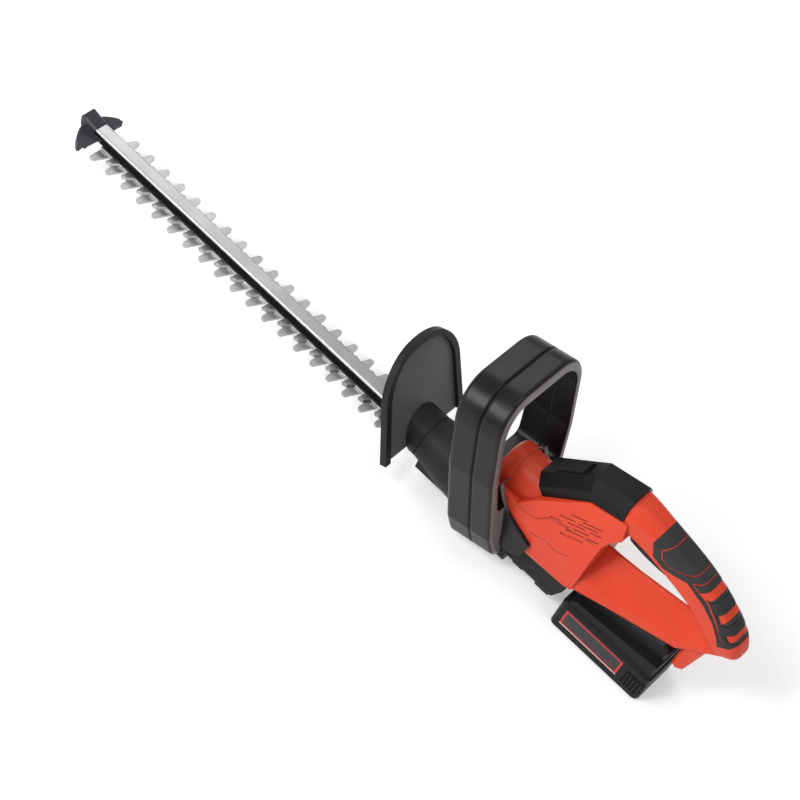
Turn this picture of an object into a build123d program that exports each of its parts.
# Battery hedge trimmer, built in millimetres.
# +X runs from the blade tip to the tail, +Y is the tool's right side, +Z is up.
# The origin is the middle of the footprint, on the surface that the battery stands on.
import os
from math import acos, cos, pi, radians, sin, sqrt, tan
from build123d import *

os.makedirs("parts", exist_ok=True)

# Overall stations along X
tip_x = -463.0
bar_front = -441.0
bar_rear = 104.0

# Blade stack, from the top down
bar_top = 54.0
bar_bottom = 47.0
bar_w = 17.0
rail_bottom = 41.0
rail_w = 17.6
rail_front = -430.0
blade_t = 2.5
blade_gap = 0.3
upper_z = rail_bottom - blade_gap - blade_t
lower_z = upper_z - blade_gap - blade_t
spine_half = 11.0
tooth_pitch = 24.3
tooth_reach = 29.9
cutter_reach = 21.5
bevel_angle = 36.0
blade_front = -426.0
bolt_first = -395.0
bolt_step = 82.0
bolt_count = 6
bolt_r = 2.5

# Crank drive
crank_x = 140.0
half_stroke = 6.5
rest_shift = 4.65
ecc_r = 8.0
gear_teeth = 54
pinion_teeth = 9
module = 1.0
gear_gap = 0.25
motor_x = crank_x + module * (gear_teeth + pinion_teeth) / 2 + gear_gap
gear_z = 49.5
gear_h = 7.0
crank_shaft_r = 4.0
run_gap = 0.05
motor_r = 18.0
motor_z = 63.0
motor_h = 54.0

# Neck and guard
neck_z = 52.0
nose_r = 27.4
seam_x = 66.0
neck_r = 36.0
guard_lean = 24.0
guard_foot = (55.0, 45.0)
guard_t = 3.6

# Front handle
grip_lean = 16.0
grip_mid_k = 178.0
grip_fore = 31.0
grip_aft = 27.0
grip_half = 70.0
grip_wall = 13.0
grip_side = 10.0
grip_flare = 5.0
grip_top = 195.0
grip_round = 5.0

# Body
body_half = 36.0
body_front = 150.0
hump_top = 145.0
ridge_half = 1.5

# Battery
bat_front = 287.0
bat_rear = 410.0
bat_half = 34.0
bat_split = 27.0
bat_shoulder = 44.0
cell_r = 9.2
cell_l = 65.0
bat_corner = 7.0

# Blade bar: a bright extruded bar with rounded upper edges.
with BuildPart() as blade_bar:
    with BuildSketch(Plane.YZ.offset(bar_front)) as bar_section:
        with Locations((0, (bar_top + bar_bottom) / 2)):
            Rectangle(bar_w, bar_top - bar_bottom)
        fillet(bar_section.vertices().group_by(Axis.Y)[-1], 1.8)
    extrude(amount=bar_rear - bar_front)
    with Locations((bar_front + 5.5, 0, bar_bottom)):
        Cylinder(1.7, 8, mode=Mode.SUBTRACT)
blade_bar.part.label = "blade_bar"
export_step(blade_bar.part, "parts/blade_bar.step")

bolt_xs = [bolt_first + bolt_step * i for i in range(bolt_count)]

# Guide rail: the black strip between the bar and the blades.
with BuildPart() as guide_rail:
    with BuildSketch(Plane.XY.offset(rail_bottom)):
        with Locations(((rail_front + bar_rear) / 2, 0)):
            Rectangle(bar_rear - rail_front, rail_w)
        with Locations(*[(x, 0) for x in bolt_xs]):
            Circle(bolt_r, mode=Mode.SUBTRACT)
    extrude(amount=bar_bottom - rail_bottom)
guide_rail.part.label = "guide_rail"
export_step(guide_rail.part, "parts/guide_rail.step")

# Shoulder bolts: pan heads under the lower blade, shanks up into the rail.
head_top = lower_z - blade_gap
with BuildPart() as blade_bolts:
    with BuildSketch(Plane.XY.offset(head_top)):
        with Locations(*[(x, 0) for x in bolt_xs]):
            Circle(bolt_r)
    extrude(amount=bar_bottom - head_top)
    with BuildSketch(Plane.XY.offset(head_top)):
        with Locations(*[(x, 0) for x in bolt_xs]):
            Circle(6.0)
    extrude(amount=-2.6)
    chamfer(blade_bolts.edges().filter_by(GeomType.CIRCLE).group_by(Axis.Z)[0], 0.8)
blade_bolts.part.label = "blade_bolts"
export_step(blade_bolts.part, "parts/blade_bolts.step")


def round_tooth(tip_at, side):
    """A long guard tooth with a rounded end, leaning a little towards the tip."""
    root = tip_at + 4.0 * (1 if side < 0 else -0.6)
    end = tooth_reach - 3.9
    Polygon((tip_at - 3.9, side * end), (root - 7.4, side * 9.0), (root + 7.4, side * 9.0),
            (tip_at + 3.9, side * end), align=None)
    with Locations((tip_at, side * end)):
        Circle(3.9)


def cut_tooth(tip_at, side):
    """A short sharpened tooth with a slanted end, its corners in turn to the left."""
    root = tip_at + 4.0 * (1 if side < 0 else -0.6)
    corners = [(tip_at - 4.2, cutter_reach - 3.2), (root - 7.0, 9.0), (root + 7.0, 9.0),
               (tip_at + 4.0, cutter_reach - 1.6), (tip_at - 1.6, cutter_reach)]
    Polygon(*[(x, side * y) for x, y in corners[::side]], align=None)


def blade_outline(round_side, round_first, round_count, shift):
    """Spine, yoke frame and the guard teeth of one side."""
    yoke_x = crank_x + shift
    reach = half_stroke + ecc_r + half_stroke + 0.5
    spine_end = yoke_x - reach
    with Locations(((blade_front + spine_end) / 2, 0)):
        Rectangle(spine_end - blade_front, 2 * spine_half)
    with Locations((yoke_x, 0)):
        RectangleRounded(2 * reach + 12, 2 * (half_stroke + ecc_r + 0.5) + 12, 5)
    for i in range(round_count):
        round_tooth(round_first + tooth_pitch * i, round_side)
    with Locations((yoke_x, 0)):
        RectangleRounded(2 * reach, 2 * (half_stroke + ecc_r + 0.5), 3, mode=Mode.SUBTRACT)
    with Locations(*[(x + shift, 0) for x in bolt_xs]):
        SlotOverall(2 * half_stroke + 2 * bolt_r + 0.8, 2 * bolt_r + 0.8, mode=Mode.SUBTRACT)


# Upper blade: cutting teeth on the left, guard teeth on the right. The cutters are ground back from
# the face that slides on the other blade, so they narrow away from it.
with BuildPart() as upper_blade:
    with BuildSketch(Plane.XY.offset(upper_z)):
        blade_outline(1, -407.6, 19, -rest_shift)
    extrude(amount=blade_t)
    with BuildSketch(Plane.XY.offset(upper_z)):
        for i in range(19):
            cut_tooth(-405.7 + tooth_pitch * i, -1)
    extrude(amount=blade_t, taper=bevel_angle)
upper_blade.part.label = "upper_blade"
export_step(upper_blade.part, "parts/upper_blade.step")

# Lower blade: the same blade turned over, guard teeth on the left.
with BuildPart() as lower_blade:
    with BuildSketch(Plane.XY.offset(lower_z)):
        blade_outline(-1, -421.8, 19, rest_shift)
    extrude(amount=blade_t)
    with BuildSketch(Plane.XY.offset(lower_z + blade_t)):
        for i in range(18):
            cut_tooth(-397.2 + tooth_pitch * i, 1)
    extrude(amount=-blade_t, taper=bevel_angle)
lower_blade.part.label = "lower_blade"
export_step(lower_blade.part, "parts/lower_blade.step")

# Tip guard: a wedge in front of the bar, a crescent before the teeth, two wings that lap back over
# the first teeth, and a tongue under the bar.
wing_low = rail_bottom + 0.4
wing_top = rail_bottom + 4.6
crescent_low = lower_z - 1.5
with BuildPart() as tip_guard:
    with BuildSketch(Plane.XY.offset(crescent_low)):
        with BuildLine():
            ThreePointArc((-443.5, 32.0), (-460.5, 0), (-443.5, -32.0))
            ThreePointArc((-443.5, -32.0), (-440.5, -32.6), (-439.6, -29.5))
            ThreePointArc((-439.6, -29.5), (-441.6, 0), (-439.6, 29.5))
            ThreePointArc((-439.6, 29.5), (-440.5, 32.6), (-443.5, 32.0))
        make_face()
    extrude(amount=wing_top - crescent_low)
    with BuildSketch(Plane.XY.offset(wing_low)):
        for side in (-1, 1):
            Polygon((-443, side * 8), (-441, side * 31), (-436.5, side * 32.6), (-437.5, side * 29.8),
                    (-434, side * 29), (-434.5, side * 22), (-433.5, side * 9.2), align=None)
    extrude(amount=wing_top - wing_low)
    chamfer(tip_guard.faces().filter_by(Axis.Z).sort_by(Axis.Z)[-1].edges().filter_by(GeomType.CIRCLE), 1.6)
    with BuildSketch(Plane.XZ.offset(-9.5)):
        with BuildLine():
            Polyline((bar_front, bar_top + 1.2), (tip_x + 6, bar_top + 4.5), (tip_x, bar_top + 2.5),
                     (tip_x + 1, bar_bottom), (tip_x + 6, crescent_low), (bar_front, crescent_low), close=True)
        make_face()
    extrude(amount=19)
    chamfer(tip_guard.edges().filter_by(lambda e: abs(e.center().Z - bar_top - 3) < 2.5 and e.length > 12
                                        and abs(e.center().Y) > 8), 2.4)
    with BuildSketch(Plane.XY.offset(rail_bottom)):
        with Locations(((bar_front + rail_front) / 2 - 1, 0)):
            Rectangle(rail_front - bar_front + 2, rail_w)
    extrude(amount=bar_bottom - rail_bottom)
    with Locations((bar_front + 5.5, 0, (rail_bottom + bar_bottom) / 2)):
        Cylinder(1.7, 20, mode=Mode.SUBTRACT)
    with Locations((bar_front + 15, 0, bar_bottom + 10)):
        Box(30, bar_w, 20, mode=Mode.SUBTRACT)
tip_guard.part.label = "tip_guard"
export_step(tip_guard.part, "parts/tip_guard.step")

with BuildPart() as tip_bolt:
    with BuildSketch(Plane.XY.offset(rail_bottom)):
        with Locations((bar_front + 5.5, 0)):
            Circle(1.7)
    extrude(amount=bar_bottom + 4 - rail_bottom)
    with BuildSketch(Plane.XY.offset(rail_bottom)):
        with Locations((bar_front + 5.5, 0)):
            Circle(3.2)
    extrude(amount=-2.0)
tip_bolt.part.label = "tip_bolt"
export_step(tip_bolt.part, "parts/tip_bolt.step")

# Hand guard: a shield that leans forward over the blades, with a raised rim round a dished back.
guard_dir = Vector(cos(radians(guard_lean)), 0, sin(radians(guard_lean)))
guard_plane = Plane(origin=(guard_foot[0], 0, guard_foot[1]), x_dir=(0, 1, 0), z_dir=guard_dir)


# The shield's outline is drawn three times: plate, rim and the dish cut out of the rim.
shield_steps = [(0, -2, -guard_t, Mode.ADD), (0, -2, 4.5, Mode.ADD), (8, -4, 5.0, Mode.SUBTRACT)]
with BuildPart() as hand_guard:
    for inset, foot, depth, how in shield_steps:
        with BuildSketch(guard_plane):
            with BuildLine():
                low = Line((-66 + inset, foot), (66 - inset, foot))
                right = Line(low @ 1, (60.5 - inset, 74))
                crown = Spline(right @ 1, (50 - inset * 0.8, 103 - inset * 0.5), (29, 122.5 - inset),
                               (0, 129 - inset), (-29, 122.5 - inset),
                               (-50 + inset * 0.8, 103 - inset * 0.5), (-60.5 + inset, 74))
                Line(crown @ 1, low @ 0)
            make_face()
        extrude(amount=depth, mode=how)
    with Locations((guard_foot[0], 0, 47.0)):
        Box(60, 19.4, 16.0, mode=Mode.SUBTRACT)
hand_guard.part.label = "hand_guard"
export_step(hand_guard.part, "parts/hand_guard.step")

# Nose tube: the short round front of the neck, cut off along the back of the hand guard.
neck_front = Plane(origin=(0, 0, neck_z), x_dir=(0, 1, 0), z_dir=(1, 0, 0))
with BuildPart() as nose_tube:
    with BuildSketch(neck_front.offset(20)):
        Circle(nose_r)
    extrude(amount=seam_x - 20)
    split(bisect_by=guard_plane, keep=Keep.TOP)
    with Locations((40, 0, (lower_z - 1.0 + bar_top + 1.0) / 2)):
        Box(80, 26, bar_top - lower_z + 2.0, mode=Mode.SUBTRACT)
nose_tube.part.label = "nose_tube"
export_step(nose_tube.part, "parts/nose_tube.step")

# Gear housing: the neck behind the seam ring, flaring back into a belly under the front handle.
cavity_low = 30.0
cavity_high = 62.6
with BuildPart() as gear_outer:
    with BuildSketch(Plane.XZ):
        with BuildLine():
            Polyline((seam_x, neck_z), (seam_x, neck_z + nose_r - 1.2), (seam_x + 1.2, neck_z + nose_r - 1.2),
                     (seam_x + 1.2, neck_z + nose_r))
            Spline((seam_x + 1.2, neck_z + nose_r), (88, neck_z + 31.2), (118, neck_z + neck_r - 0.4),
                   (body_front, neck_z + neck_r))
            Polyline((body_front, neck_z + neck_r), (body_front, neck_z), (seam_x, neck_z))
        make_face()
    revolve(axis=Axis((0, 0, neck_z), (1, 0, 0)), revolution_arc=360)
    with BuildSketch(Plane.YZ.offset(body_front - 16)):
        with Locations((0, 38)):
            RectangleRounded(2 * body_half - 2, 42, 12)
    extrude(amount=210 - body_front + 16)
    with BuildSketch(Plane.YZ.offset(seam_x + 8)):
        with Locations((0, 36)):
            RectangleRounded(50, 30, 8)
    extrude(amount=70)

with BuildPart() as gear_housing:
    add(gear_outer.part)
    # Blade passage, crank well and the space above it for the motor plate
    with Locations((95, 0, (lower_z - 1.0 + bar_top + 1.0) / 2)):
        Box(80, 26, bar_top - lower_z + 2.0, mode=Mode.SUBTRACT)
    with BuildSketch(Plane.XY.offset(cavity_low)):
        with Locations((crank_x + 1, 0)):
            RectangleRounded(74, 50, 6)
    extrude(amount=cavity_high - cavity_low, mode=Mode.SUBTRACT)
    with BuildSketch(Plane.XY.offset(gear_z - 3)):
        with Locations((crank_x, 0)):
            Circle(30.2)
        with Locations((motor_x, 0)):
            Circle(15.0)
    extrude(amount=cavity_high - gear_z + 3, mode=Mode.SUBTRACT)
    with BuildSketch(Plane.XY.offset(58.2)):
        with Locations((162, 0)):
            RectangleRounded(72, 56, 6)
    extrude(amount=cavity_high - 58.2, mode=Mode.SUBTRACT)
    # Seat of the lower crank bush
    with Locations((crank_x, 0, cavity_low - 3)):
        Cylinder(7.0, 6.2, mode=Mode.SUBTRACT)
gear_housing.part.label = "gear_housing"
export_step(gear_housing.part, "parts/gear_housing.step")

# Bronze bushes at both ends of the crank shaft.
with BuildPart() as crank_bushes:
    with BuildSketch(Plane.XY.offset(cavity_low - 6.0)):
        with Locations((crank_x, 0)):
            Circle(7.0)
            Circle(crank_shaft_r + run_gap, mode=Mode.SUBTRACT)
    extrude(amount=6.0)
    with BuildSketch(Plane.XY.offset(58.4)):
        with Locations((crank_x, 0)):
            Circle(7.0)
            Circle(crank_shaft_r + run_gap, mode=Mode.SUBTRACT)
    extrude(amount=4.0)
crank_bushes.part.label = "crank_bushes"
export_step(crank_bushes.part, "parts/crank_bushes.step")

# Motor plate: carries the upper bush and the motor over the gears.
with BuildPart() as motor_plate:
    with BuildSketch(Plane.XY.offset(58.4)):
        with Locations((162, 0)):
            RectangleRounded(70, 54, 5)
        with Locations((crank_x, 0)):
            Circle(7.0, mode=Mode.SUBTRACT)
        with Locations((motor_x, 0)):
            Circle(6.5, mode=Mode.SUBTRACT)
    extrude(amount=4.0)
motor_plate.part.label = "motor_plate"
export_step(motor_plate.part, "parts/motor_plate.step")


def gear_outline(teeth, turn):
    """Trapezoid teeth on a pitch circle, as one ring of points."""
    pitch_r = module * teeth / 2
    points = []
    for i in range(teeth):
        mid = 2 * pi * i / teeth + turn
        for r, half in ((pitch_r - 1.15 * module, 0.92), (pitch_r, 0.70), (pitch_r + 0.8 * module, 0.34)):
            points.append((r, mid - half * module / r))
        for r, half in ((pitch_r + 0.8 * module, 0.34), (pitch_r, 0.70), (pitch_r - 1.15 * module, 0.92)):
            points.append((r, mid + half * module / r))
    return [(r * cos(a), r * sin(a)) for r, a in points]


# Crank gear: a spur wheel with two eccentrics half a turn apart under it, on one shaft.
throw_y = sqrt(half_stroke ** 2 - rest_shift ** 2)
with BuildPart() as crank_gear:
    with BuildSketch(Plane.XY.offset(gear_z)):
        with Locations((crank_x, 0)):
            Polygon(*gear_outline(gear_teeth, 0), align=None)
    extrude(amount=gear_h)
    with BuildSketch(Plane.XY.offset(upper_z - 0.15)):
        with Locations((crank_x - rest_shift, throw_y)):
            Circle(ecc_r)
    extrude(amount=gear_z - upper_z + 0.15)
    with BuildSketch(Plane.XY.offset(lower_z - 1.0)):
        with Locations((crank_x + rest_shift, -throw_y)):
            Circle(ecc_r)
    extrude(amount=upper_z - 0.15 - lower_z + 1.0)
    with BuildSketch(Plane.XY.offset(cavity_low - 5.0)):
        with Locations((crank_x, 0)):
            Circle(crank_shaft_r)
    extrude(amount=61.6 - cavity_low + 5.0)
crank_gear.part.label = "crank_gear"
export_step(crank_gear.part, "parts/crank_gear.step")

# Motor pinion, turned so that a gap of it faces the wheel's tooth.
with BuildPart() as pinion:
    with BuildSketch(Plane.XY.offset(gear_z - 0.5)):
        with Locations((motor_x, 0)):
            Polygon(*gear_outline(pinion_teeth, 0 if pinion_teeth % 2 else pi / pinion_teeth), align=None)
        with Locations((motor_x, 0)):
            Circle(1.6, mode=Mode.SUBTRACT)
    extrude(amount=gear_h + 1.0)
pinion.part.label = "pinion"
export_step(pinion.part, "parts/pinion.step")

with BuildPart() as motor_shaft:
    with BuildSketch(Plane.XY.offset(gear_z - 1.5)):
        with Locations((motor_x, 0)):
            Circle(1.6)
    extrude(amount=motor_z + motor_h + 4 - gear_z + 1.5)
motor_shaft.part.label = "motor_shaft"
export_step(motor_shaft.part, "parts/motor_shaft.step")

# Motor: a steel can with a front boss, and a plastic end cap with two tabs.
with BuildPart() as motor_can:
    with BuildSketch(Plane.XY.offset(motor_z - 0.6)):
        with Locations((motor_x, 0)):
            Circle(motor_r)
    extrude(amount=motor_h - 8 + 0.6)
    fillet(motor_can.edges().filter_by(GeomType.CIRCLE).group_by(Axis.Z)[0], 2.0)
    with Locations((motor_x, 0, motor_z + 20)):
        Cylinder(1.6 + run_gap, 90, mode=Mode.SUBTRACT)
motor_can.part.label = "motor_can"
export_step(motor_can.part, "parts/motor_can.step")

with BuildPart() as motor_cap:
    with BuildSketch(Plane.XY.offset(motor_z + motor_h - 8)):
        with Locations((motor_x, 0)):
            Circle(motor_r - 0.6)
    extrude(amount=6)
    with BuildSketch(Plane.XY.offset(motor_z + motor_h - 2)):
        with Locations((motor_x, 0)):
            Circle(7)
        with Locations((motor_x, 11), (motor_x, -11)):
            Rectangle(1.0, 5.0)
    extrude(amount=5)
    with Locations((motor_x, 0, motor_z + motor_h)):
        Cylinder(1.6 + run_gap, 30, mode=Mode.SUBTRACT)
motor_cap.part.label = "motor_cap"
export_step(motor_cap.part, "parts/motor_cap.step")

# Body block: barrel hump, side panels, roof-shaped lower beam, arched rear handle and tail lug.
# Each handle station is x, z, slope in degrees, thickness and width.
handle_stations = [
    (206, 136, 47, 41, 44), (250, 181, 31, 42, 44), (287, 191.5, 6, 42, 43), (312, 190, -5, 40, 40),
    (346, 184, -11, 39, 38), (390, 172, -22, 38, 38), (425, 154, -36, 38, 37), (443.5, 139, -47, 35, 34),
    (451.5, 129.5, -55, 27, 25),
]
beam_sections = [
    (284, [(33, 66.5), (36, 72), (31, 85.7), (ridge_half, 120)]),
    (330, [(24.5, 74.5), (27.5, 79), (26, 89), (ridge_half, 125)]),
    (405, [(17, 92), (19, 96), (18, 104), (ridge_half, 138)]),
    (446, [(9, 123.5), (12, 126.5), (11, 130.5), (ridge_half, 144)]),
]


def station(at):
    """Section plane across the handle: local x is +Y, local y points out of its back."""
    slope = radians(at[2])
    return Plane(origin=(at[0], 0, at[1]), x_dir=(0, 1, 0), z_dir=(cos(slope), 0, sin(slope)))


with BuildPart() as handle_block:
    for at in handle_stations[2:]:
        with BuildSketch(station(at)):
            RectangleRounded(at[4], at[3], 0.34 * at[4])
    loft()
    fillet(handle_block.faces().filter_by(GeomType.PLANE).sort_by(Axis.X)[-1].edges(), 7)

with BuildPart() as arch_block:
    for at in handle_stations[:3]:
        with BuildSketch(station(at)):
            RectangleRounded(at[4], at[3], 0.34 * at[4])
    loft(ruled=True)

# The core under the sleeve, and the skin that its ribs reach, a little under the sleeve's outer face.
with BuildPart() as handle_core:
    for at in handle_stations[3:-1]:
        with BuildSketch(station(at)):
            RectangleRounded(at[4] - 4.4, at[3] - 4.4, 0.34 * (at[4] - 4.4))
    loft()

with BuildPart() as rib_skin:
    for at in handle_stations[3:-1]:
        with BuildSketch(station(at)):
            RectangleRounded(at[4] - 0.8, at[3] - 0.8, 0.34 * (at[4] - 0.8))
    loft()

with BuildPart() as beam_block:
    for at_x, half in beam_sections:
        with BuildSketch(Plane.YZ.offset(at_x)):
            Polygon(*half, *[(-y, z) for y, z in reversed(half)], align=None)
    loft(ruled=True)

# The flank leans in from body_half at flank_z to flank_top_half at flank_top_z.
flank_z = 106.0
flank_top_z = 196.0
flank_top_half = 23.4
with BuildPart() as panel_block:
    with BuildSketch(Plane.XZ.offset(-40)):
        Polygon((body_front, 60), (228, 61), (280, 66), (288, 69), (288, 146), (292, 160), (301, 172), (296, 191.5),
                (288, 191), (251, 180.4), (206, 134), (190, 112), (body_front, 112), align=None)
    extrude(amount=80)
    with BuildSketch(Plane.YZ.offset(body_front - 5)):
        Polygon((33, 56), (body_half, 66), (body_half, flank_z), (flank_top_half, flank_top_z),
                (-flank_top_half, flank_top_z), (-body_half, flank_z), (-body_half, 66), (-33, 56), align=None)
    extrude(amount=160, mode=Mode.INTERSECT)

# The hump is a drum over the motor with a rounded front rim and a step behind it.
rim_x = 167.0
with BuildPart() as hump_block:
    for start, end, half in ((body_front, rim_x, 28.0), (rim_x, 222, 26.4)):
        with BuildSketch(Plane.YZ.offset(start)):
            with Locations((0, 90)):
                Rectangle(2 * half, 54)
            with Locations((0, hump_top - 28)):
                Circle(half)
        extrude(amount=end - start)
    fillet(hump_block.edges().filter_by(GeomType.CIRCLE).group_by(Axis.X)[0], 10)

with BuildPart() as lug_block:
    with BuildSketch(Plane.XZ.offset(-13)):
        Polygon((411, 64), (418, 60), (425, 66), (434, 118), (411, 118), align=None)
    extrude(amount=26)
    chamfer(lug_block.edges().filter_by(lambda e: abs(e.center().Y) > 12 and e.center().Z < 110), 3)

# The soft sleeve takes the outer skin of the handle inside this side outline. Bands cut through it
# let ribs of the orange core come up: a shield, a line behind it, a side line and three broad bands.
sleeve_outline = [(331, 240), (325.5, 196), (333, 180), (347, 175.5), (362, 179.5), (376, 185), (402, 175.5),
                  (420, 164), (432, 151), (437.5, 141.5), (470, 169.6), (480, 240)]
line_w = 1.5
shield_line = [(347, 214), (344.5, 204), (337, 195), (342, 185.5), (353, 183.4), (366, 189.5), (378, 194), (390, 202)]
behind_line = [(380, 187.8), (389, 191), (402, 200)]
side_line = [(381, 187.4), (405, 180), (423, 167.5), (434.5, 154.5), (440, 150)]
broad_bands = [
    [(391, 184.5), (400, 182), (411, 182.5), (420, 194), (406, 198), (398, 188.5)],
    [(416.5, 174.5), (424, 169.5), (434.5, 168), (446, 181), (432, 186), (423.5, 177)],
    [(436.5, 161.5), (442.5, 156), (453, 154.5), (464, 168), (452, 172), (444, 163.5)],
]


def drawn_in(corners, share):
    """The corners moved towards their middle, to the given share of their distance."""
    mid_x = sum(x for x, z in corners) / len(corners)
    mid_z = sum(z for x, z in corners) / len(corners)
    return [(mid_x + share * (x - mid_x), mid_z + share * (z - mid_z)) for x, z in corners]


# Slots through the sleeve, and the same bands a little narrower for the ribs of the core.
band_blocks = []
for line_width, share in ((line_w, 1.0), (line_w - 0.4, 0.94)):
    with BuildPart() as one_block:
        with BuildSketch(Plane.XZ.offset(-40)):
            for way in (shield_line, behind_line, side_line):
                with BuildLine():
                    Polyline(*way)
                trace(line_width=line_width)
            for corners in broad_bands:
                Polygon(*drawn_in(corners, share), align=None)
        extrude(amount=80)
    band_blocks.append(one_block.part)

with BuildPart() as rib_block:
    add(band_blocks[1])
    add(rib_skin.part, mode=Mode.INTERSECT)

with BuildPart() as body_block:
    add(handle_block.part)
    with BuildSketch(Plane.XZ.offset(-40)):
        Polygon(*sleeve_outline, align=None)
    extrude(amount=80, mode=Mode.SUBTRACT)
    add(handle_core.part)
    add(rib_block.part)
    add(arch_block.part)
    add(beam_block.part)
    add(panel_block.part)
    add(hump_block.part)
    add(lug_block.part)

# Arch cover: a faceted saddle over the front of the handle, with one clear bend.
cover_stations = [(206, 136, 45.6), (252, 183, 31), (289, 193.5, 6)]
with BuildPart() as cover_block:
    for at in cover_stations:
        stretch = 1 / cos(radians(14.8)) if at[2] == 31 else 1.0
        with BuildSketch(station(at)):
            Polygon((23.4, -1), (23.4, 11 * stretch), (14, 22.8 * stretch), (-14, 22.8 * stretch),
                    (-23.4, 11 * stretch), (-23.4, -1), align=None)
    loft(ruled=True)

# Room for the cover: everything of the body above its lower edge goes.
with BuildPart() as cover_room:
    for at in cover_stations:
        with BuildSketch(station(at)):
            Polygon((30, -1), (30, 40), (-30, 40), (-30, -1), align=None)
    loft(ruled=True)

# Lock-off slide: a ribbed thumb piece that runs up and down the cover's front facet.
facet = Plane(origin=(206 - 22.8 * sin(radians(45.6)), 0, 136 + 22.8 * cos(radians(45.6))), x_dir=(0, 1, 0),
              z_dir=(-sin(radians(45.6)), 0, cos(radians(45.6))))
lock_len = 36.0
lock_w = 17.0
lock_travel = 6.0
lock_mid = -34.0
with BuildPart() as lock_slide:
    with BuildSketch(facet.offset(-4.6)):
        with Locations((0, lock_mid)):
            Rectangle(lock_w, lock_len)
    extrude(amount=6.2)
    with BuildSketch(facet.offset(1.6)):
        with Locations(*[(0, lock_mid - lock_len / 2 + 3 + 3.75 * i) for i in range(9)]):
            Rectangle(lock_w, 2.0)
    extrude(amount=1.2)
lock_slide.part.label = "lock_slide"
export_step(lock_slide.part, "parts/lock_slide.step")

with BuildPart() as arch_cover:
    add(cover_block.part)
    with BuildSketch(facet.offset(-5.0)):
        with Locations((0, lock_mid - lock_travel / 2)):
            Rectangle(lock_w + 0.7, lock_len + 0.7 + lock_travel)
    extrude(amount=12, mode=Mode.SUBTRACT)
arch_cover.part.label = "arch_cover"
export_step(arch_cover.part, "parts/arch_cover.step")

# Rear grip: a soft sleeve over the back and sides of the handle, from behind the arch to the tail.
with BuildPart() as rear_grip:
    add(handle_block.part)
    with BuildSketch(Plane.XZ.offset(-40)):
        Polygon(*sleeve_outline, align=None)
    extrude(amount=80, mode=Mode.INTERSECT)
    add(handle_core.part, mode=Mode.SUBTRACT)
    add(beam_block.part, mode=Mode.SUBTRACT)
    add(band_blocks[0], mode=Mode.SUBTRACT)
rear_grip.part.label = "rear_grip"
export_step(rear_grip.part, "parts/rear_grip.step")

# Trigger: a long lever on the inside of the handle, hinged at its rear end.
pivot_x = 378.0
pivot_z = 168.0
pivot_r = 2.5
with BuildPart() as trigger:
    with BuildSketch(Plane.XZ.offset(-7)):
        with BuildLine():
            Polyline((384, 164), (384, 172), (372, 174), (330, 177), (305, 180), (299, 177), (300, 165), (304, 159))
            Spline((304, 159), (330, 155.5), (354, 156), (384, 164))
        make_face()
        with Locations((pivot_x, pivot_z)):
            Circle(pivot_r + run_gap, mode=Mode.SUBTRACT)
    extrude(amount=14)
trigger.part.label = "trigger"
export_step(trigger.part, "parts/trigger.step")

with BuildPart() as trigger_pin:
    with BuildSketch(Plane.XZ.offset(-13)):
        with Locations((pivot_x, pivot_z)):
            Circle(pivot_r)
    extrude(amount=26)
trigger_pin.part.label = "trigger_pin"
export_step(trigger_pin.part, "parts/trigger_pin.step")

# Switch module over the trigger's nose, with its plunger.
with BuildPart() as switch_module:
    with Locations((318, 0, 195.5)):
        Box(26, 18, 13)
    with BuildSketch(Plane.XY.offset(189)):
        with Locations((312, 0)):
            Circle(2.5)
    extrude(amount=-1.6)
switch_module.part.label = "switch_module"
export_step(switch_module.part, "parts/switch_module.step")

# Terminal block in the roof of the battery well, with three contact blades.
well_x = 355.0
well_l = 44.0
well_half = 17.5
well_top = 98.0
with BuildPart() as terminal_block:
    with Locations((well_x, 0, well_top - 3)):
        Box(well_l, 2 * well_half, 6)
    with Locations((well_x, -9, well_top - 11), (well_x, 0, well_top - 11), (well_x, 9, well_top - 11)):
        Box(26, 1.0, 10)
terminal_block.part.label = "terminal_block"
export_step(terminal_block.part, "parts/terminal_block.step")

# Body screws: driven from the right shell into the left one, with sunk heads.
screw_at = [(206, 76), (262, 84), (262, 150), (320, 106), (398, 110), (416, 139)]
with BuildPart() as body_screws:
    with BuildSketch(Plane.XZ.offset(-9)):
        with Locations(*screw_at):
            Circle(1.6)
    extrude(amount=20)
    with BuildSketch(Plane.XZ.offset(-9)):
        with Locations(*screw_at):
            Circle(3.2)
    extrude(amount=-2.4)
body_screws.part.label = "body_screws"
export_step(body_screws.part, "parts/body_screws.step")

# Cuts in both flanks: slanted vent slots, a stepped panel line and a fine line below it.
# A slot is its start, end and row in millimetres along and across the slant, from vent_mid.
flank_tilt = acos(90 / sqrt(90 ** 2 + (body_half - flank_top_half) ** 2))
flank = Plane(origin=(0, -body_half, flank_z), x_dir=(1, 0, 0), z_dir=(0, -cos(flank_tilt), sin(flank_tilt)))
vent_mid = (250.0, 142.0)
vent_slant = 24.0
vent_slots = [
    (-1, 18, 12.6, 1.7), (13, 37, 9.4, 1.7), (-13.5, 4, 6.2, 1.7), (9, 31, 5.2, 1.7), (-4, 17, 1.4, 1.7),
    (22, 36, 1.0, 1.7), (-25, -12, -0.4, 1.7), (-16, -2, -4.2, 1.7), (3, 22, -3.2, 1.7), (-6, 16, -7.8, 1.7),
    (20, 33, -7.8, 1.7), (-12, 16, -14.6, 3.0),
]
panel_line = [(191, 110.5), (203, 113.2), (216, 114.5), (228, 129.5), (267, 140), (280, 143.5)]
fine_line = [(220, 93.5), (240, 101.5), (252, 99.5), (266, 107.5)]


def on_flank(x, z):
    """Side-view place x, z in the flank plane's own coordinates."""
    return (x, (z - flank_z) / cos(flank_tilt))


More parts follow.
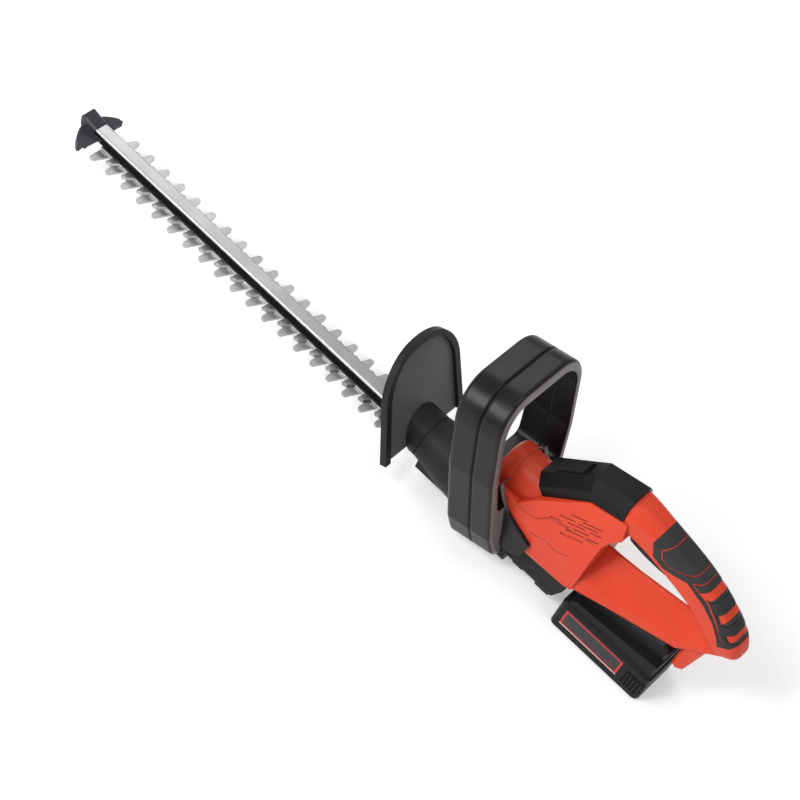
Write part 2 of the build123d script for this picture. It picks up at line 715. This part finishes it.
with BuildPart() as flank_cuts:
    with BuildSketch(flank.offset(-1.5)):
        for start, end, row, width in vent_slots:
            along = (start + end) / 2
            slant = radians(vent_slant)
            mid_x = vent_mid[0] + along * cos(slant) - row * sin(slant)
            mid_z = vent_mid[1] + along * sin(slant) + row * cos(slant)
            with Locations(on_flank(mid_x, mid_z)):
                SlotOverall(end - start, width, rotation=vent_slant)
    extrude(amount=6)
    with BuildSketch(flank.offset(-0.8)):
        with BuildLine():
            Polyline(*[on_flank(x, z) for x, z in panel_line])
        trace(line_width=1.1)
    extrude(amount=6)
    with BuildSketch(Plane.XZ.offset(body_half - 0.8)):
        with BuildLine():
            Polyline(*fine_line)
        trace(line_width=0.9)
    extrude(amount=6)
    mirror(about=Plane.XZ)

# Hollows of the body: motor pocket, trigger slot, switch pocket, battery well and screw holes.
with BuildPart() as body_hollow:
    add(body_block.part)
    add(cover_room.part, mode=Mode.SUBTRACT)
    add(flank_cuts.part, mode=Mode.SUBTRACT)
    with BuildSketch(Plane.XY.offset(50)):
        with Locations((motor_x, 0)):
            Circle(motor_r + 0.6)
    extrude(amount=motor_z + motor_h + 6 - 50, mode=Mode.SUBTRACT)
    with Locations((162, 0, 60)):
        Box(72, 56, 5.2, mode=Mode.SUBTRACT)
    with Locations((341, 0, 168)):
        Box(92, 15.2, 40, mode=Mode.SUBTRACT)
    with Locations((318, 0, 195)):
        Box(26, 18, 14, mode=Mode.SUBTRACT)
    with BuildSketch(Plane.XZ.offset(-13)):
        with Locations((pivot_x, pivot_z)):
            Circle(pivot_r)
    extrude(amount=26, mode=Mode.SUBTRACT)
    with Locations((well_x, 0, well_top - 30)):
        Box(well_l, 2 * well_half, 60, mode=Mode.SUBTRACT)
    with BuildSketch(Plane.XZ.offset(-9)):
        with Locations(*screw_at):
            Circle(1.6)
    extrude(amount=20, mode=Mode.SUBTRACT)
    with BuildSketch(Plane.XZ.offset(-9)):
        with Locations(*screw_at):
            Circle(3.2)
    extrude(amount=-60, mode=Mode.SUBTRACT)

with BuildPart() as left_shell:
    add(body_hollow.part)
    with Locations((300, -50, 130)):
        Box(400, 100, 300, mode=Mode.INTERSECT)
left_shell.part.label = "left_shell"
export_step(left_shell.part, "parts/left_shell.step")

with BuildPart() as right_shell:
    add(body_hollow.part)
    with Locations((300, 50, 130)):
        Box(400, 100, 300, mode=Mode.INTERSECT)
right_shell.part.label = "right_shell"
export_step(right_shell.part, "parts/right_shell.step")

# Front handle: a closed loop that leans forward round the body, moulded in two halves.
grip_dir = Vector(cos(radians(grip_lean)), 0, sin(radians(grip_lean)))
grip_x = (grip_mid_k - neck_z * sin(radians(grip_lean))) / cos(radians(grip_lean))
grip_plane = Plane(origin=(grip_x, 0, neck_z), x_dir=(0, 1, 0), z_dir=grip_dir)
loop_left = [(-grip_half - 1, grip_top), (-grip_half, 90), (-59, 5), (-45, -35)]
loop_outline = loop_left + [(-y, up) for y, up in reversed(loop_left)]
with BuildPart() as grip_ring:
    with BuildSketch(grip_plane.offset(-grip_fore)) as ring_outline:
        Polygon(*loop_outline, align=None)
        fillet(ring_outline.vertices().group_by(Axis.Y)[-1], 43)
        fillet(ring_outline.vertices().group_by(Axis.Y)[0], 28)
    extrude(amount=grip_fore + grip_aft)
    fillet(grip_ring.faces().filter_by(grip_plane).edges(), grip_round)
    # The opening flares a little towards the front.
    for along, flare in ((grip_aft + 1, 0), (-grip_fore - 1, grip_flare)):
        half = grip_half - grip_side + flare
        with BuildSketch(grip_plane.offset(along)) as hand_opening:
            Polygon((half, grip_top - grip_wall), (-half, grip_top - grip_wall), (-half, 90), (-half + 7, 44),
                    (half - 7, 44), (half, 90), align=None)
            fillet(hand_opening.vertices().group_by(Axis.Y)[-1], 31)
            fillet(hand_opening.vertices().group_by(Axis.Y)[0], 10)
    loft(ruled=True, mode=Mode.SUBTRACT)
    add(body_block.part, mode=Mode.SUBTRACT)
    add(gear_outer.part, mode=Mode.SUBTRACT)
    with Locations((180, 0, 58)):
        Box(100, 68, 24, mode=Mode.SUBTRACT)

# Feet of the rear half: two cheeks that lap back over the body's sides.
with BuildPart() as cheek_block:
    with BuildSketch(Plane.XZ.offset(-40.5)):
        with BuildLine():
            Polyline((228, 79), (225, 58), (214, 50), (165, 44), (160, 90), (168, 124))
            Spline((168, 124), (177, 110), (188, 99), (207, 88.5), (228, 79))
        make_face()
    extrude(amount=81)
    add(body_block.part, mode=Mode.SUBTRACT)
    add(gear_outer.part, mode=Mode.SUBTRACT)
    with Locations((180, 0, 72)):
        Box(140, 68, 100, mode=Mode.SUBTRACT)

# A shallow groove follows the parting line round the loop.
with BuildPart() as groove_block:
    with BuildSketch(grip_plane.offset(-1.6)) as groove_outline:
        Polygon(*loop_outline, align=None)
        fillet(groove_outline.vertices().group_by(Axis.Y)[-1], 43)
        fillet(groove_outline.vertices().group_by(Axis.Y)[0], 28)
        offset(amount=-1.6, mode=Mode.SUBTRACT)
    extrude(amount=3.2)

ring_screw_at = [(30.0, 188.5), (-30.0, 188.5), (49.0, 16.0), (-49.0, 16.0)]
with BuildPart() as handle_screws:
    with BuildSketch(grip_plane.offset(-15)):
        with Locations(*ring_screw_at):
            Circle(1.6)
    extrude(amount=30)
    with BuildSketch(grip_plane.offset(-15)):
        with Locations(*ring_screw_at):
            Circle(3.2)
    extrude(amount=-2.4)
handle_screws.part.label = "handle_screws"
export_step(handle_screws.part, "parts/handle_screws.step")

with BuildPart() as handle_front:
    add(grip_ring.part)
    with BuildSketch(grip_plane):
        Rectangle(400, 600)
    extrude(amount=100, mode=Mode.SUBTRACT)
    add(groove_block.part, mode=Mode.SUBTRACT)
    with BuildSketch(grip_plane.offset(-15)):
        with Locations(*ring_screw_at):
            Circle(1.6)
    extrude(amount=30, mode=Mode.SUBTRACT)
    with BuildSketch(grip_plane.offset(-15)):
        with Locations(*ring_screw_at):
            Circle(3.2)
    extrude(amount=-40, mode=Mode.SUBTRACT)
handle_front.part.label = "handle_front"
export_step(handle_front.part, "parts/handle_front.step")

with BuildPart() as handle_rear:
    add(grip_ring.part)
    with BuildSketch(grip_plane):
        Rectangle(400, 600)
    extrude(amount=-100, mode=Mode.SUBTRACT)
    add(cheek_block.part)
    with BuildSketch(grip_plane):
        Rectangle(400, 600)
    extrude(amount=-60, mode=Mode.SUBTRACT)
    add(groove_block.part, mode=Mode.SUBTRACT)
    with BuildSketch(grip_plane.offset(-15)):
        with Locations(*ring_screw_at):
            Circle(1.6)
    extrude(amount=30, mode=Mode.SUBTRACT)
    for at in (6, 11, 16, 21):
        with BuildSketch(grip_plane.offset(at)):
            with Locations((0, -36)):
                Rectangle(62, 4.6)
        extrude(amount=2.2, mode=Mode.SUBTRACT)
handle_rear.part.label = "handle_rear"
export_step(handle_rear.part, "parts/handle_rear.step")

# Lower cover: the black block in front of the battery, with two clip bumps under it.
with BuildPart() as lower_cover:
    with BuildSketch(Plane.YZ.offset(211)):
        with Locations((0, 45)):
            RectangleRounded(54, 46, 6)
    extrude(amount=70)
    with BuildSketch(Plane.XZ.offset(-22)):
        Polygon((214, 26), (218, 17.5), (231, 17.5), (237, 26), align=None)
        Polygon((246, 26), (251, 16), (268, 16), (277, 26), align=None)
    extrude(amount=44)
    with BuildSketch(Plane.XZ.offset(-40)):
        Polygon((266, 10), (290, 10), (290, 45), (281, 45), align=None)
    extrude(amount=80, mode=Mode.SUBTRACT)
    add(body_block.part, mode=Mode.SUBTRACT)
    add(gear_outer.part, mode=Mode.SUBTRACT)
    add(cheek_block.part, mode=Mode.SUBTRACT)
lower_cover.part.label = "lower_cover"
export_step(lower_cover.part, "parts/lower_cover.step")

# Battery: lower case, upper case with its wedge and plug, cells, two latch buttons and a bare label.
bat_mid = (bat_front + bat_rear) / 2
bat_len = bat_rear - bat_front
latch_x = 396.5
latch_l = 23.0
latch_z = 22.0
latch_h = 22.0
latch_travel = 2.5
with BuildPart() as battery_hull:
    with BuildSketch(Plane.XY):
        with Locations((bat_mid, 0)):
            RectangleRounded(bat_len, 2 * bat_half, bat_corner)
    extrude(amount=bat_shoulder)
    chamfer(battery_hull.faces().sort_by(Axis.Z)[0].edges(), 3.0)
    chamfer(battery_hull.faces().sort_by(Axis.Z)[-1].edges(), 2.5)

with BuildPart() as cell_room:
    with Locations((bat_front + 50.5, 0, 22.6)):
        Box(93, 2 * 32.7, 37.4)

with BuildPart() as latch_room:
    with Locations((latch_x, -(bat_half - 4), latch_z), (latch_x, bat_half - 4, latch_z)):
        Box(latch_l + 0.7, 21, latch_h + 0.7)

label_l = 80.0
label_h = 25.0
label_x = 337.0
label_z = 25.0
with BuildPart() as battery_lower:
    add(battery_hull.part)
    with Locations((bat_mid, 0, bat_split + 50)):
        Box(200, 100, 100, mode=Mode.SUBTRACT)
    add(cell_room.part, mode=Mode.SUBTRACT)
    add(latch_room.part, mode=Mode.SUBTRACT)
    with Locations((label_x, -bat_half, label_z)):
        Box(label_l, 1.2, label_h, mode=Mode.SUBTRACT)
battery_lower.part.label = "battery_lower"
export_step(battery_lower.part, "parts/battery_lower.step")

with BuildPart() as wedge_block:
    with BuildSketch(Plane.XZ.offset(-20)):
        Polygon((293, 42), (405, 42), (406, 78), (397, 88.4), (330, 71.4), (296, 58.7), (291, 47), align=None)
    extrude(amount=40)
    chamfer(wedge_block.edges().filter_by(lambda e: abs(e.center().Y) > 19.5 and e.center().Z > 50), 3.0)

# A step runs along each side between the hull and the wedge.
with BuildPart() as step_block:
    with BuildSketch(Plane.XZ.offset(-31)):
        Polygon((292, 43), (407, 43), (407, 63), (392, 61), (330, 54.5), (301, 52.5), (294, 48), align=None)
    extrude(amount=62)
    chamfer(step_block.edges().filter_by(lambda e: abs(e.center().Y) > 30.5 and e.center().Z > 45), 2.0)

with BuildPart() as battery_upper:
    add(battery_hull.part)
    with Locations((bat_mid, 0, bat_split - 50)):
        Box(200, 100, 100, mode=Mode.SUBTRACT)
    add(step_block.part)
    add(wedge_block.part)
    with Locations((well_x, 0, well_top - 20)):
        Box(38, 30, 27)
    with Locations(*[(well_x, y, well_top - 12) for y in (-9, 0, 9)]):
        Box(28, 3.0, 24, mode=Mode.SUBTRACT)
    add(cell_room.part, mode=Mode.SUBTRACT)
    add(latch_room.part, mode=Mode.SUBTRACT)
    with Locations((label_x, -bat_half, label_z)):
        Box(label_l, 1.2, label_h, mode=Mode.SUBTRACT)
battery_upper.part.label = "battery_upper"
export_step(battery_upper.part, "parts/battery_upper.step")

with BuildPart() as battery_cells:
    with BuildSketch(Plane.XZ.offset(-cell_l / 2)):
        with Locations(*[(bat_front + 13.5 + 18.5 * i, 13.2 + 18.8 * j) for i in range(5) for j in range(2)]):
            Circle(cell_r)
    extrude(amount=cell_l)
battery_cells.part.label = "battery_cells"
export_step(battery_cells.part, "parts/battery_cells.step")

for side, name in ((-1, "latch_left"), (1, "latch_right")):
    with BuildPart() as latch:
        with Locations((latch_x, side * (bat_half - 5.5), latch_z)):
            Box(latch_l, 9, latch_h)
        with Locations(*[(latch_x - 9 + 4.5 * i, side * bat_half, latch_z) for i in range(5)]):
            Box(2.2, 2.4, latch_h - 3)
    latch.part.label = name
    export_step(latch.part, "parts/" + name + ".step")

with BuildPart() as label_plate:
    with Locations((label_x, -bat_half + 0.3, label_z)):
        Box(label_l, 0.6, label_h)
label_plate.part.label = "label_plate"
export_step(label_plate.part, "parts/label_plate.step")
